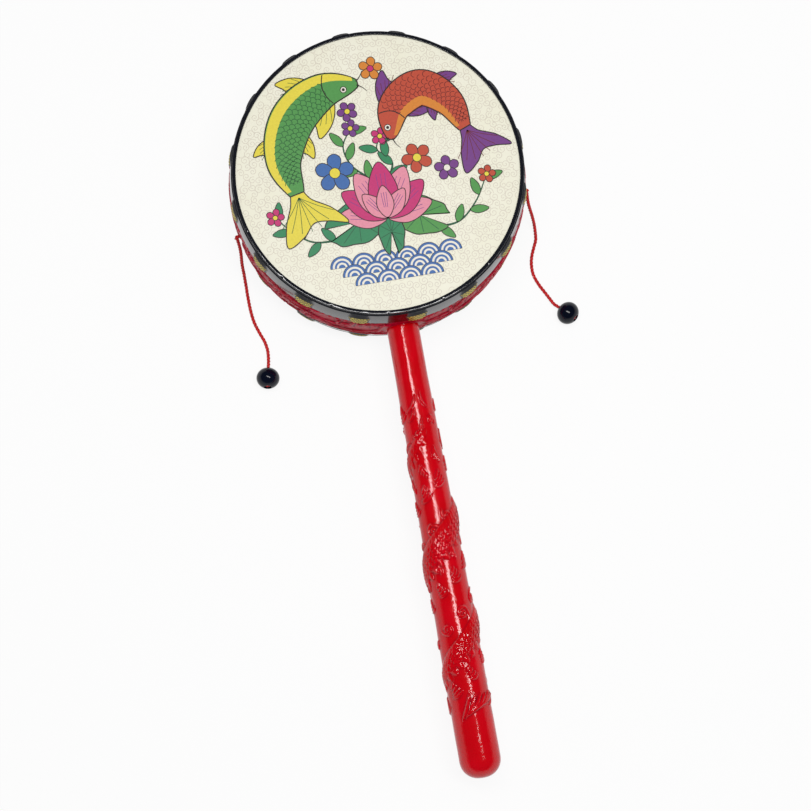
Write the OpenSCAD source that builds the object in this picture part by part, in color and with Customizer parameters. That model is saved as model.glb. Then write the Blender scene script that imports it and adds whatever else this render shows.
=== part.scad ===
// Pellet drum rattle: a bellied drum on a moulded handle, with two pellets on cords.
// The drum lies on its back hoop. +Z is the front head's normal, +Y runs from handle to drum.

/* [Drum] */
// Outer radius of a hoop at its rim, before its edge is bevelled
hoop_r = 57.5; // [56:0.1:59]
// Depth of the drum from rim to rim
drum_depth = 44; // [40:0.5:48]
// How far the drum bellies out past the rim radius at mid depth
belly = 2.2; // [1.6:0.1:2.6]
// Thickness of the shell's wall
shell_wall = 2.4; // [2:0.1:2.8]
// Thickness of the shell's ends under the hoops
spigot_wall = 2; // [1.5:0.1:3]
// Thickness of a head
head_t = 0.5; // [0.3:0.05:0.8]

/* [Hoops] */
// Width of a hoop along the drum's axis
hoop_w = 10.5; // [9.5:0.25:11.5]
// Thickness of a hoop's skirt at the rim
hoop_wall = 1; // [0.8:0.05:1.2]
// Width of the lip that frames the head
lip_w = 1.5; // [1.4:0.05:2]
// Thickness of the lip over the head
lip_t = 0.8; // [0.5:0.05:1.2]
// Depth of the bevelled edge between the rim and the band
bevel_d = 0.5; // [0.35:0.05:0.7]
// Depth of the line scored between the bevel and the band
score = 0.25; // [0.15:0.05:0.4]

/* [Bosses] */
// Number of raised ornaments round each hoop
boss_n = 16; // [8:1:20]
// Angle of the first boss from the +X axis
boss_turn = 5.3; // [4:0.1:6]
// Length of a boss round the hoop
boss_l = 9.4; // [7:0.2:11]
// How far a boss stands out past the widest part of its hoop
boss_out = 0.9; // [0.5:0.05:1.1]
// How far a boss stands out of the band at its edge by the rim
boss_rise = 0.6; // [0.4:0.05:0.8]
// Width of the seams between the rim's sections
seam_w = 0.5; // [0.3:0.1:0.8]

/* [Handle] */
// Distance from the drum's axis to the tip of the handle
handle_reach = 239; // [230:1:250]
// Radius of the handle's neck
neck_r = 6.5; // [6:0.1:7]
// Radius of the straight end of the handle
grip_r = 8.1; // [7.6:0.05:9]
// Length of the plain straight end, up to its rounded tip
grip_l = 20; // [16:0.5:24]
// Radius that rounds the tip
tip_round = 7; // [4:0.25:7.5]
// Radius of the handle's hollow
hollow_r = 5; // [3.5:0.1:5.2]
// Thickness of the handle at its closed tip
tip_wall = 8; // [5:0.5:12]
// Length of neck that the drum's socket holds
socket_l = 12; // [8:0.5:16]
// Thickness of the socket's wall
socket_wall = 2.2; // [1.6:0.1:3]
// Thickness of the stop that the neck seats on
stop_t = 2; // [1.2:0.1:3]

/* [Winding relief] */
// Height of the winding body above the handle
wind_h = 1.35; // [0.8:0.05:1.8]
// Width of the winding body along the handle
wind_w = 12; // [8:0.25:16]
// Advance of the winding body in one turn
wind_pitch = 42; // [36:0.5:50]
// Distance from the drum's axis to where the relief starts
wind_from = 103; // [95:1:115]
// Distance from the drum's axis to where the relief ends
wind_to = 206; // [190:1:208]

/* [Cords and pellets] */
// Angle of the cord holes below the drum's diameter
cord_turn = 11; // [10:0.5:12]
// Diameter of a cord
cord_d = 1.5; // [1:0.1:1.6]
// Diameter of the hole that a cord leaves the shell by
cord_hole_d = 2; // [1.8:0.1:3]
// Radius of the knot inside the shell
knot_r = 2; // [1.6:0.1:3]
// Radius of a pellet across its bore
pellet_r = 4.75; // [4.4:0.05:5]
// Length of a pellet along its bore
pellet_l = 8.7; // [8:0.1:9.6]
// Diameter of a pellet's bore
pellet_bore_d = 1.9; // [1.8:0.05:2.4]
// Radius of the knot under a pellet
end_knot_r = 1.2; // [1.1:0.05:1.5]

/* [Hidden] */
$fn = 64;

// Clearance of a push fit, and of a cord's loose pieces
fit = 0.05;
play = 0.3;
// How far a cut runs past what it cuts
over = 1;

mid_z = drum_depth / 2;
skirt_r = hoop_r - hoop_wall;
spigot_r = skirt_r - 2 * fit;
spigot_in_r = spigot_r - spigot_wall;
seat_z = lip_t + head_t;
steps = 10;
hoop_steps = 4;

// Outer radius of the bellied drum at a height above its back rim
function belly_r(z) = hoop_r + belly * (1 - pow((z - mid_z) / mid_z, 2));
function belly_line(z0, z1, less, n) =
    [for (i = [0:n]) let (z = z0 + (z1 - z0) * i / n) [belly_r(z) - less, z]];
function backwards(list) = [for (i = [len(list) - 1:-1:0]) list[i]];

boss_top_r = belly_r(hoop_w) + boss_out;
boss_pitch = 360 / boss_n;

// The origin is midway along the whole rattle, under the drum's resting plane
drum_y = (handle_reach - boss_top_r) / 2;

red = [0.74, 0.03, 0.07];
black = [0.04, 0.04, 0.05];
cream = [0.93, 0.9, 0.78];
cord_red = [0.7, 0.05, 0.05];

module at_drum() { translate([0, drum_y, 0]) children(); }
// Stands children drawn along +Z on the handle's axis
module along_handle() { translate([0, 0, mid_z]) rotate([90, 0, 0]) children(); }

// Cord holes: the right one is side 1, the left one side -1
function hole_angle(side) = side > 0 ? -cord_turn : 180 + cord_turn;
module at_hole(side, r) { rotate(hole_angle(side)) translate([r, 0, mid_z]) children(); }

// Shell

// The wall steps in to a spigot at each end, so that a hoop sits flush on it
inner_low = hoop_w + shell_wall;
inner_high = drum_depth - inner_low;

module shell_profile() {
    polygon(concat(
        [[spigot_r, seat_z], [spigot_r, hoop_w]],
        belly_line(hoop_w, drum_depth - hoop_w, 0, steps),
        [[spigot_r, drum_depth - hoop_w], [spigot_r, drum_depth - seat_z],
         [spigot_in_r, drum_depth - seat_z], [spigot_in_r, drum_depth - hoop_w]],
        backwards(belly_line(inner_low, inner_high, shell_wall, steps)),
        [[spigot_in_r, hoop_w], [spigot_in_r, seat_z]]));
}

wall_in_r = belly_r(mid_z) - shell_wall;
socket_r = neck_r + socket_wall;
neck_end = wall_in_r - socket_l;

module socket() {
    intersection() {
        along_handle() translate([0, 0, neck_end - stop_t])
            cylinder(r = socket_r, h = socket_l + stop_t + shell_wall);
        translate([0, 0, mid_z - socket_r]) cylinder(r = wall_in_r + shell_wall / 2, h = 2 * socket_r);
    }
}

module shell() {
    color(red) at_drum() difference() {
        union() {
            rotate_extrude() shell_profile();
            socket();
        }
        along_handle() translate([0, 0, neck_end]) cylinder(r = neck_r + fit, h = hoop_r);
        along_handle() translate([0, 0, neck_end - stop_t - over]) cylinder(r = hollow_r, h = stop_t + 2 * over);
        for (side = [-1, 1])
            at_hole(side, wall_in_r) rotate([0, 90, 0]) cylinder(d = cord_hole_d, h = 4 * shell_wall, center = true);
    }
}

// Hoops, drawn with the rim on the XY plane

band_d = bevel_d + score;

module hoop_profile() {
    polygon(concat(
        [[hoop_r - lip_w, 0], [hoop_r - bevel_d, 0], [belly_r(bevel_d), bevel_d],
         [belly_r(bevel_d) - score, bevel_d + score / 2]],
        belly_line(band_d, hoop_w, 0, hoop_steps),
        [[skirt_r, hoop_w], [skirt_r, lip_t], [hoop_r - lip_w, lip_t]]));
}

// A boss rises from inside the band, from a low edge by the rim to a high one by the shell
boss_low = band_d + score;
boss_high = hoop_w - score;
boss_slope = 1.4;
boss_root_r = skirt_r + hoop_wall / 2;
// Each corner of a boss's outline: share of its half length, share of its height
boss_shares = [[-1, 0.45], [-0.8, 0], [0.8, 0], [1, 0.45], [0.8, 1], [-0.8, 1]];

module boss_belt() {
    rotate_extrude() polygon([
        [boss_root_r, boss_low], [belly_r(boss_low) + boss_rise, boss_low + boss_rise],
        [boss_top_r, boss_high - boss_slope],
        [belly_r(boss_high) - score, boss_high], [boss_root_r, boss_high]]);
}

module boss_outline() {
    tall = boss_high - boss_low + 2 * score;
    polygon([for (share = boss_shares) [share[0] * boss_l / 2, share[1] * tall]]);
}

module bosses() {
    intersection() {
        boss_belt();
        for (i = [0:boss_n - 1])
            rotate(boss_turn + i * boss_pitch) translate([skirt_r, 0, boss_low - score])
                rotate([90, 0, 90]) linear_extrude(boss_top_r - skirt_r + over) boss_outline();
    }
}

seam_l = sqrt(2) * bevel_d + score;

// Each seam notches the bevel across
module seams() {
    for (i = [0:boss_n - 1])
        rotate(boss_turn + (i + 0.5) * boss_pitch) translate([hoop_r - bevel_d - score, 0, 0])
            rotate([0, 45, 0]) translate([0, -seam_w / 2, -over]) cube([over, seam_w, over + seam_l]);
}

module hoop() {
    difference() {
        union() {
            rotate_extrude() hoop_profile();
            bosses();
        }
        seams();
    }
}

module front_hoop() { color(black) at_drum() translate([0, 0, drum_depth]) mirror([0, 0, 1]) hoop(); }
module back_hoop() { color(black) at_drum() hoop(); }

// Heads, held between a hoop's lip and the end of the shell

module head() { translate([0, 0, lip_t]) cylinder(r = spigot_r, h = head_t); }
module front_head() { color(cream) at_drum() translate([0, 0, drum_depth]) mirror([0, 0, 1]) head(); }
module back_head() { color(cream) at_drum() head(); }

// Handle, drawn along +Z from the drum's axis

grip_from = handle_reach - tip_round - grip_l;
tip_from = handle_reach - tip_round;
neck_to = hoop_r + belly + neck_r;

// The handle swells smoothly from its neck to its straight end
function handle_r(s) =
    let (way = min(1, max(0, (s - neck_to) / (grip_from - neck_to))))
    neck_r + (grip_r - neck_r) * way * way * (3 - 2 * way);

module handle_profile() {
    difference() {
        union() {
            polygon(concat(
                [[0, neck_end], [neck_r, neck_end]],
                [for (i = [0:steps]) let (s = neck_to + (grip_from - neck_to) * i / steps) [handle_r(s), s]],
                [[grip_r, tip_from], [0, tip_from]]));
            intersection() {
                translate([0, tip_from]) square([grip_r, tip_round]);
                union() {
                    translate([grip_r - tip_round, tip_from]) circle(r = tip_round);
                    translate([0, tip_from]) square([grip_r - tip_round, tip_round]);
                }
            }
        }
        translate([0, neck_end - over]) square([hollow_r, handle_reach - tip_wall - neck_end + over]);
    }
}

// The winding body: a ridge that tapers at both ends, swept round the handle
wind_turn = 360 / wind_pitch;
wind_right_at = 136;
ring_angle = 22.5;
wind_rings = floor((wind_to - wind_from) * wind_turn / ring_angle);
// Each corner of the ridge's section: share of its half width, share of its height
ridge_shares = [[-1, -1], [-0.72, 0.55], [-0.25, 1], [0.25, 1], [0.72, 0.55], [1, -1]];
// Shares of the full section at the tips, and how the ridge fills out between them
tip_share = 0.12;
fill_power = 0.5;

function wind_taper(u) = tip_share + (1 - tip_share) * pow(max(0, sin(180 * u)), fill_power);
function wind_point(s, angle, share, size) =
    let (r = handle_r(s) + share[1] * wind_h * size, t = s + share[0] * wind_w / 2 * size)
    [r * cos(angle), r * sin(angle), t];
function wind_ring(i) =
    let (u = i / wind_rings, s = wind_from + (wind_to - wind_from) * u,
         angle = (s - wind_right_at) * wind_turn)
    [for (share = ridge_shares) wind_point(s, angle, share, wind_taper(u))];

// Triangles of a tube made of rings, each of n points in the same order
function tube_faces(rings, n, flip) =
    let (walls = [for (i = [0:rings - 2]) for (k = [0:n - 1]) let (m = (k + 1) % n)
             each [[i * n + k, i * n + m, (i + 1) * n + m], [i * n + k, (i + 1) * n + m, (i + 1) * n + k]]],
         ends = [for (k = [1:n - 2])
             each [[0, k + 1, k], [(rings - 1) * n, (rings - 1) * n + k, (rings - 1) * n + k + 1]]])
    [for (f = concat(walls, ends)) flip ? [f[0], f[2], f[1]] : f];

module winding() {
    points = [for (i = [0:wind_rings]) each wind_ring(i)];
    polyhedron(points, tube_faces(wind_rings + 1, len(ridge_shares), false));
}

module handle() {
    color(red) at_drum() along_handle() union() {
        rotate_extrude() handle_profile();
        winding();
    }
}

// Cords and pellets, in the drum's own axes: Y towards the top, Z up from the back rim

// A cord turns at its lead, just clear of the bosses, and at its fold when it strikes
lead_out = 1.5;
lead_reach = belly_r(mid_z) + lead_out;
lead_r = cord_d / 2 + fit;
left_fold = [-59.7, -25.4, 1.3];
right_fold = [63.4, -25.4, 1.3];
fold_gap = 1.4;
left_route = [[-59.8, -28.2, 0.85], [-59.8, -32, 0.8], [-59.7, -36, 0.8], [-59.4, -40, 0.8],
    [-58.7, -44, 0.8], [-57.3, -48.2, 0.8], [-56, -51.8, 0.8], [-55.4, -55, 1.2],
    [-55.4, -57.8, 1.9], [-55.7, -60.6, 2.9]];
right_route = [[62.9, -28, 0.85], [61.6, -31, 0.8], [60.1, -34.4, 0.8], [59.2, -38.2, 0.8],
    [59.2, -42.4, 0.8], [60.6, -46.8, 0.8], [62.4, -50.4, 0.9], [63.9, -53.6, 1.5], [65.2, -56.6, 2.7]];
left_pellet_at = [-57, -67.7, pellet_r];
right_pellet_at = [69.8, -61.6, pellet_r];

function unit(v) = v / norm(v);
function last(list) = list[len(list) - 1];
function towards(from, to, d) = from + unit(to - from) * d;
function lead_at(side) =
    [lead_reach * cos(hole_angle(side)), lead_reach * sin(hole_angle(side)), mid_z];

left_bore = unit(left_pellet_at - last(left_route));
right_bore = unit(right_pellet_at - last(right_route));

// The far end of a pellet's bore is opened out for its knot
knot_seat = pellet_l / 2 - 2 * end_knot_r - play / 2;
knot_seat_r = end_knot_r + play;

sides = 8;
// How a cord's round end closes: share of its radius back from the end, share of its radius there
round_shares = [[0.95, 0.3], [0.7, 0.71], [0.35, 0.94]];

function ring_at(points, i, share) =
    let (n = len(points), t = unit(points[min(i + 1, n - 1)] - points[max(i - 1, 0)]),
         a = unit(cross(t, [1, 0, 0])), b = cross(t, a), r = share * cord_d / 2)
    [for (k = [0:sides - 1]) points[i] + r * (cos(360 * k / sides) * a + sin(360 * k / sides) * b)];

module cord_tube(points, shares = []) {
    rings = [for (i = [0:len(points) - 1]) each ring_at(points, i, i < len(shares) ? shares[i][1] : 1)];
    polyhedron(rings, tube_faces(len(points), sides, true));
}

// The upper stretch hangs straight between the lead and the fold
module upper_cord(side, fold) {
    lead = lead_at(side);
    at_drum() cord_tube([towards(lead, fold, lead_r + play), (lead + fold) / 2, towards(fold, lead, fold_gap)]);
}

// The lower stretch starts round at the fold and runs into the pellet's bore, up to the knot
module lower_cord(fold, route, pellet_at, bore) {
    cap = [for (share = round_shares) towards(fold, route[0], -share[0] * cord_d / 2)];
    at_drum() cord_tube(concat(cap, [fold], route,
        [pellet_at - bore * pellet_l / 2, pellet_at + bore * (knot_seat - fit)]), round_shares);
}

module along(at, direction) {
    at_drum() translate(at)
        rotate([0, acos(direction[2]), atan2(direction[1], direction[0])]) children();
}

module pellet(at, bore) {
    arc = 12;
    color(black) along(at, bore) difference() {
        rotate_extrude() polygon([for (i = [-arc:arc]) let (a = 90 * i / arc)
            [pellet_r * cos(a), pellet_l / 2 * sin(a)]]);
        cylinder(d = pellet_bore_d, h = 2 * pellet_l, center = true);
        translate([0, 0, knot_seat]) cylinder(r = knot_seat_r, h = pellet_l);
    }
}

module end_knot(at, bore) {
    color(cord_red) along(at, bore) translate([0, 0, knot_seat + end_knot_r]) sphere(r = end_knot_r);
}

// The cord's inner end: a knot inside the wall and the stretch through its hole
module anchor(side) {
    color(cord_red) at_drum() at_hole(side, wall_in_r - knot_r - fit) union() {
        sphere(r = knot_r);
        rotate([0, 90, 0]) cylinder(d = cord_d, h = knot_r + shell_wall);
    }
}

module cord_lead(side) { color(cord_red) at_drum() translate(lead_at(side)) sphere(r = lead_r); }

module left_anchor() { anchor(-1); }
module right_anchor() { anchor(1); }
module left_cord_lead() { cord_lead(-1); }
module right_cord_lead() { cord_lead(1); }
module left_cord_upper() { color(cord_red) upper_cord(-1, left_fold); }
module right_cord_upper() { color(cord_red) upper_cord(1, right_fold); }
module left_cord_lower() { color(cord_red) lower_cord(left_fold, left_route, left_pellet_at, left_bore); }
module right_cord_lower() { color(cord_red) lower_cord(right_fold, right_route, right_pellet_at, right_bore); }
module left_pellet() { pellet(left_pellet_at, left_bore); }
module right_pellet() { pellet(right_pellet_at, right_bore); }
module left_end_knot() { end_knot(left_pellet_at, left_bore); }
module right_end_knot() { end_knot(right_pellet_at, right_bore); }

shell();
front_hoop();
back_hoop();
front_head();
back_head();
handle();
left_anchor();
right_anchor();
left_cord_lead();
right_cord_lead();
left_cord_upper();
right_cord_upper();
left_cord_lower();
right_cord_lower();
left_pellet();
right_pellet();
left_end_knot();
right_end_knot();
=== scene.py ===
import math

import bpy
import numpy as np
from mathutils import Matrix, Vector, geometry


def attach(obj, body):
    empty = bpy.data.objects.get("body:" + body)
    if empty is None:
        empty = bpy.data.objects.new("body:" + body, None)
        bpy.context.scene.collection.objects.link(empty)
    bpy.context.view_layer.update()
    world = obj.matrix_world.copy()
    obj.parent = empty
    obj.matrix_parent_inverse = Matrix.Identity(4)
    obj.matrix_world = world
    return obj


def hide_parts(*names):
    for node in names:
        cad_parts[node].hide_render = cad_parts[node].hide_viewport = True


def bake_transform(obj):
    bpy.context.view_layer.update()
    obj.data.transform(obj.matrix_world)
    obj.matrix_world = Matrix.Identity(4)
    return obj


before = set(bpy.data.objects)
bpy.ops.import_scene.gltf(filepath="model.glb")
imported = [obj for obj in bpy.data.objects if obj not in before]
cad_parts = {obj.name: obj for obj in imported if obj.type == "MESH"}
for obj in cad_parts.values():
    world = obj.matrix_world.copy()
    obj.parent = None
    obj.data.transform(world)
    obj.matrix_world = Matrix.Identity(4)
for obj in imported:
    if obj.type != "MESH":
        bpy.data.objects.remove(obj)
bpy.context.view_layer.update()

MM = 0.001
# Sizes repeated from the part's source, in millimetres, in the drum's own axes
DRUM = np.array([0.0, 89.5006, 0.0])
DEPTH, MID = 44.0, 22.0
HOOP_R, HOOP_W, BELLY = 57.5, 10.5, 2.2
BOSS_N, BOSS_TURN, BOSS_L = 16, 5.3, 9.4
SHELL_IN, SPIGOT_R, SPIGOT_END, SHOULDER_R, WALL_IN = 54.4, 56.4, 1.3, 58.6, 57.2
NECK_R, GRIP_R, NECK_TO, GRIP_FROM, TIP_FROM, TIP = 6.5, 8.1, 66.2, 212.0, 232.0, 239.0
NECK_END, HOLLOW_R = 45.3, 5.0
CORD_D, CORD_TURN, LEAD_REACH = 1.5, 11.0, 61.2
PELLET_R, PELLET_L = 4.75, 8.7


def belly_r(z):
    """Radius of the drum's bellied wall at a height."""
    return HOOP_R + BELLY * (1 - ((z - MID) / MID) ** 2)


# Camera, solved from the drum's face, hoop, handle and table plane in the photograph


def turn(axis, degrees):
    return np.array(Matrix.Rotation(math.radians(degrees), 3, axis))


FOCAL_PIXELS, IMAGE_PIXELS, SENSOR = 1600, 811, 36
CAMERA_AT = Vector((-0.04094, -0.17585 + DRUM[1] * MM, 0.65393))

scene = bpy.context.scene
to_camera = turn("Z", 10.092) @ turn("X", -7.661) @ turn("Y", 3.31)
camera_data = bpy.data.cameras.new("camera")
camera_data.sensor_width = SENSOR
camera_data.lens = FOCAL_PIXELS / IMAGE_PIXELS * SENSOR
camera_data.clip_start = 0.01
camera = bpy.data.objects.new("camera", camera_data)
scene.collection.objects.link(camera)
camera.matrix_world = Matrix.Translation(CAMERA_AT) @ Matrix(to_camera.T.tolist()).to_4x4()
scene.camera = camera
scene.view_settings.view_transform = "Standard"

# Mesh helpers. Points are in millimetres in the drum's axes, and go out in metres in the part's frame


def mesh_piece(name, points, faces, material, body, smooth=True):
    mesh = bpy.data.meshes.new(name)
    co = (np.asarray(points, float) + DRUM) * MM
    mesh.from_pydata(co.tolist(), [], [tuple(int(i) for i in f) for f in faces])
    mesh.polygons.foreach_set("use_smooth", [smooth] * len(mesh.polygons))
    mesh.materials.append(material)
    mesh.update()
    piece = bpy.data.objects.new(name, mesh)
    scene.collection.objects.link(piece)
    if body:
        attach(piece, body)
    return piece


def grid_faces(rows, columns, wrap_rows=False, wrap_columns=True, flip=False):
    """Quads of a grid of points, stored row by row."""
    r = np.arange(rows if wrap_rows else rows - 1)
    c = np.arange(columns if wrap_columns else columns - 1)
    r, c = np.meshgrid(r, c, indexing="ij")
    r1, c1 = (r + 1) % rows, (c + 1) % columns
    quads = np.stack([r * columns + c, r * columns + c1, r1 * columns + c1, r1 * columns + c], -1)
    quads = quads.reshape(-1, 4)
    return quads[:, ::-1] if flip else quads


def point_values(piece, name, values):
    """Gives a mesh one number at each point, for its material to read."""
    attribute = piece.data.attributes.new(name, "FLOAT", "POINT")
    attribute.data.foreach_set("value", np.asarray(values, np.float32).ravel())


def smooth_line(points, step=0.25):
    """A centripetal curve through the points, at even steps."""
    p = np.asarray(points, float)
    p = np.vstack([2 * p[0] - p[1], p, 2 * p[-1] - p[-2]])
    out = []
    for a, b, c, d in zip(p[:-3], p[1:-2], p[2:-1], p[3:]):
        t0, t1 = 0.0, math.sqrt(np.linalg.norm(b - a))
        t2 = t1 + math.sqrt(np.linalg.norm(c - b))
        t3 = t2 + math.sqrt(np.linalg.norm(d - c))
        for t in np.linspace(t1, t2, 24, endpoint=False):
            e = a * (t1 - t) / (t1 - t0) + b * (t - t0) / (t1 - t0)
            f = b * (t2 - t) / (t2 - t1) + c * (t - t1) / (t2 - t1)
            g = c * (t3 - t) / (t3 - t2) + d * (t - t2) / (t3 - t2)
            h = e * (t2 - t) / (t2 - t0) + f * (t - t0) / (t2 - t0)
            i = f * (t3 - t) / (t3 - t1) + g * (t - t1) / (t3 - t1)
            out.append(h * (t2 - t) / (t2 - t1) + i * (t - t1) / (t2 - t1))
    out = np.array(out + [p[-2]])
    along = np.concatenate([[0], np.cumsum(np.linalg.norm(np.diff(out, axis=0), axis=1))])
    n = max(3, int(round(along[-1] / step)) + 1)
    even = np.linspace(0, along[-1], n)
    return np.stack([np.interp(even, along, out[:, k]) for k in range(3)], -1), even


def frames(line):
    """Two cross directions at each point of a line, turning as little as they can."""
    tangent = np.gradient(line, axis=0)
    tangent /= np.linalg.norm(tangent, axis=1)[:, None]
    a = np.cross(tangent[0], [1.0, 0.2, 0.1])
    one = []
    for t in tangent:
        a = a - t * (a @ t)
        a /= np.linalg.norm(a)
        one.append(a.copy())
    one = np.array(one)
    return one, np.cross(tangent, one)


def tube(line, radius, sides, offset=0):
    """Points and faces of a closed tube along a line."""
    a, b = frames(line)
    angle = 2 * np.pi * np.arange(sides) / sides
    radius = np.broadcast_to(radius, len(line))[:, None, None]
    across = a[:, None] * np.cos(angle)[:, None] + b[:, None] * np.sin(angle)[:, None]
    ring = line[:, None] + radius * across
    faces = [tuple(f + offset) for f in grid_faces(len(line), sides)]
    last = (len(line) - 1) * sides
    faces += [tuple(offset + k for k in range(sides))[::-1], tuple(offset + last + k for k in range(sides))]
    return ring.reshape(-1, 3), faces


# Materials


def shader(name, **values):
    material = bpy.data.materials.new(name)
    material.use_nodes = True
    node = material.node_tree.nodes["Principled BSDF"]
    for key, value in values.items():
        node.inputs[key.replace("_", " ")].default_value = value
    return material, material.node_tree.nodes, material.node_tree.links, node


def add(nodes, kind, **values):
    node = nodes.new(kind)
    for key, value in values.items():
        if isinstance(value, (int, float)) and key in node.inputs:
            node.inputs[key].default_value = value
        else:
            setattr(node, key, value)
    return node


def noise(nodes, links, scale, detail=3.0, rough=0.5):
    where = add(nodes, "ShaderNodeTexCoord")
    node = add(nodes, "ShaderNodeTexNoise", Scale=scale, Detail=detail, Roughness=rough)
    links.new(where.outputs["Object"], node.inputs["Vector"])
    return node.outputs["Fac"]


def ramp(nodes, links, value, stops):
    node = add(nodes, "ShaderNodeValToRGB")
    element = node.color_ramp.elements
    while len(element) < len(stops):
        element.new(0.5)
    for e, (at, colour) in zip(element, stops):
        e.position, e.color = at, (*colour, 1)
    links.new(value, node.inputs["Fac"])
    return node.outputs["Color"]


def spread(nodes, links, value, low, high):
    node = add(nodes, "ShaderNodeMapRange")
    node.inputs["To Min"].default_value, node.inputs["To Max"].default_value = low, high
    links.new(value, node.inputs["Value"])
    return node.outputs["Result"]


def bump(nodes, links, principled, value, distance, strength=1.0):
    node = add(nodes, "ShaderNodeBump", Strength=strength, Distance=distance)
    links.new(value, node.inputs["Height"])
    links.new(node.outputs["Normal"], principled.inputs["Normal"])


def attribute(nodes, name):
    return add(nodes, "ShaderNodeAttribute", attribute_name=name)


def red_plastic(name, level, rough, low, high, shade_colour):
    """Moulded plastic, clouded between two tones, with painted shade darkening the hollows of its relief."""
    material, nodes, links, p = shader(name, IOR=1.5, Specular_IOR_Level=level)
    hollow_shade = attribute(nodes, "hollow_shade").outputs["Fac"]
    cloudy = noise(nodes, links, 90, 4)
    tone = ramp(nodes, links, cloudy, [(0.3, low), (0.7, high)])
    mix = add(nodes, "ShaderNodeMix", data_type="RGBA")
    # Painted shade: the colour darkens towards the shade colour in the relief's hollows.
    links.new(hollow_shade, mix.inputs["Factor"])
    links.new(tone, mix.inputs["A"])
    mix.inputs["B"].default_value = shade_colour
    links.new(mix.outputs["Result"], p.inputs["Base Color"])
    links.new(spread(nodes, links, noise(nodes, links, 260, 5), *rough), p.inputs["Roughness"])
    bump(nodes, links, p, noise(nodes, links, 700, 3), 0.00012, 0.6)
    return material


def black_plastic(name, ior, low, high):
    """Black plastic, gilded and dulled where the mesh says so."""
    material, nodes, links, p = shader(name, IOR=ior)
    gold = attribute(nodes, "gold").outputs["Fac"]
    ink = ramp(nodes, links, noise(nodes, links, 120, 3), [(0.3, low), (0.7, high)])
    leaf = ramp(nodes, links, noise(nodes, links, 700, 4),
                [(0.3, (0.52, 0.38, 0.02)), (0.7, (0.82, 0.68, 0.10))])
    mix = add(nodes, "ShaderNodeMix", data_type="RGBA")
    links.new(gold, mix.inputs["Factor"])
    links.new(ink, mix.inputs["A"])
    links.new(leaf, mix.inputs["B"])
    links.new(mix.outputs["Result"], p.inputs["Base Color"])
    metal = add(nodes, "ShaderNodeMath", operation="MULTIPLY")
    metal.inputs[1].default_value = 0.55
    links.new(gold, metal.inputs[0])
    links.new(metal.outputs["Value"], p.inputs["Metallic"])
    dull = attribute(nodes, "dull").outputs["Fac"]
    links.new(spread(nodes, links, dull, 0.11, 0.42), p.inputs["Roughness"])
    bump(nodes, links, p, noise(nodes, links, 1500, 2), 0.00001, 0.5)
    return material


def head_film():
    material, nodes, links, p = shader("head_film", IOR=1.45)
    tone = ramp(nodes, links, noise(nodes, links, 55, 5, 0.6),
                [(0.3, (0.890, 0.868, 0.700)), (0.7, (0.915, 0.895, 0.755))])
    links.new(tone, p.inputs["Base Color"])
    links.new(spread(nodes, links, noise(nodes, links, 400, 3), 0.42, 0.55), p.inputs["Roughness"])
    bump(nodes, links, p, noise(nodes, links, 1800, 3), 0.00001, 0.4)
    return material


def printed_ink():
    material, nodes, links, p = shader("printed_ink", IOR=1.45)
    colour = attribute(nodes, "ink").outputs["Color"]
    speck = ramp(nodes, links, noise(nodes, links, 1200, 3),
                 [(0.25, (0.86, 0.86, 0.86)), (0.75, (1.0, 1.0, 1.0))])
    mix = add(nodes, "ShaderNodeMix", data_type="RGBA", blend_type="MULTIPLY")
    mix.inputs["Factor"].default_value = 1
    links.new(colour, mix.inputs["A"])
    links.new(speck, mix.inputs["B"])
    links.new(mix.outputs["Result"], p.inputs["Base Color"])
    links.new(spread(nodes, links, noise(nodes, links, 500, 3), 0.4, 0.52), p.inputs["Roughness"])
    return material


def cord_red():
    material, nodes, links, p = shader("cord_red", IOR=1.4, Sheen_Weight=0.35, Sheen_Roughness=0.4)
    p.inputs["Sheen Tint"].default_value = (1, 0.55, 0.5, 1)
    # The palest stop paints highlight flecks on the strands.
    tone = ramp(nodes, links, noise(nodes, links, 1400, 4),
                [(0.3, (0.42, 0.004, 0.008)), (0.56, (0.64, 0.010, 0.014)),
                 (0.66, (0.72, 0.03, 0.03)), (0.74, (0.92, 0.42, 0.36))])
    links.new(tone, p.inputs["Base Color"])
    links.new(spread(nodes, links, noise(nodes, links, 900, 2), 0.5, 0.72), p.inputs["Roughness"])
    bump(nodes, links, p, noise(nodes, links, 6000, 3), 0.00004, 0.7)
    return material


# The last colour of each is painted shade for the hollows of the relief.
RED = red_plastic("red_plastic", level=0.4, rough=(0.06, 0.17),
                  low=(0.60, 0.0, 0.003), high=(0.71, 0.0, 0.009), shade_colour=(0.24, 0.0, 0.008, 1))
CRIMSON = red_plastic("crimson_plastic", level=0.08, rough=(0.28, 0.45),
                      low=(0.46, 0.0, 0.016), high=(0.60, 0.0, 0.034), shade_colour=(0.10, 0.0, 0.008, 1))
BLACK = black_plastic("black_plastic", ior=1.7, low=(0.004, 0.005, 0.008), high=(0.008, 0.009, 0.013))
BEAD = black_plastic("bead_black", ior=1.35, low=(0.0015, 0.003, 0.009), high=(0.003, 0.005, 0.015))
FILM, INK, CORD = head_film(), printed_ink(), cord_red()

# Cords: three strands twisted round one smooth line each, then the knots and the pellets on them

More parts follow.
